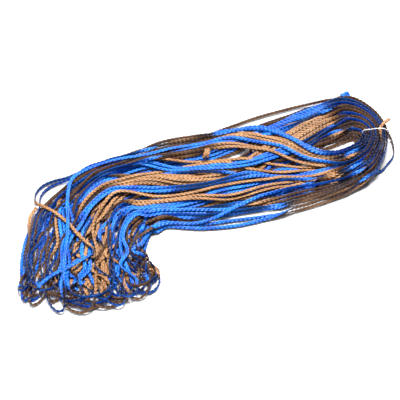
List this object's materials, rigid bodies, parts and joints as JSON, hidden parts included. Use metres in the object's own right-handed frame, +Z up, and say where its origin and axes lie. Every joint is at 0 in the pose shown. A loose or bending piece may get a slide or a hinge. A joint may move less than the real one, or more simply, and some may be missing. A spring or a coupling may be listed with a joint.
{
  "type": "hank of flat plaited cord",
  "caption": "Loose hank of flat plaited two-colour imitation leather cord, blue one side and tan the other, held open at one bend by a thin white tie.",
  "frame": {"origin": "centre of the underside of the whole hank's box, on the surface it lies on", "axes": "+X along the long runs towards the tied bend, +Y towards the back edge, +Z up"},
  "size_m": [0.4953, 0.2503, 0.0235],
  "materials": {
    "cord_blue": "satin blue imitation leather face of the plaited strips, fine grain, soft sheen",
    "cord_tan": "satin tan imitation leather face of the plaited strips, fine grain, darker cut edges",
    "tie_thread": "white twisted thread, matt with a slight sheen"
  },
  "bodies": {
    "root": {"run_back_outer": "cord_tan", "run_back_inner": "cord_blue", "run_middle": "cord_tan", "run_front_inner": "cord_blue", "run_front_outer": "cord_blue", "eye_back": "cord_tan", "bend_back": "cord_tan", "bend_tip": "cord_blue", "bend_front": "cord_blue", "eye_front": "cord_tan", "fan_loops_1": "cord_blue", "fan_loops_2": "cord_blue", "fan_loops_3": "cord_tan", "fan_loops_4": "cord_blue", "fan_loops_5": "cord_tan", "back_stray_right": "cord_tan", "back_stray_left": "cord_tan", "front_stray": "cord_blue", "right_loop": "cord_tan", "upper_left_loop": "cord_tan", "upper_left_loop_inner": "cord_blue", "bottom_loop": "cord_tan", "cross_strand_tan": "cord_tan", "cross_strand_blue": "cord_blue", "cord_end_right": "cord_tan", "cord_end_left": "cord_tan", "back_knot": "cord_blue", "middle_hitch": "cord_tan", "tie": "tie_thread", "tie_knot": "tie_thread"}
  },
  "joints": []
}
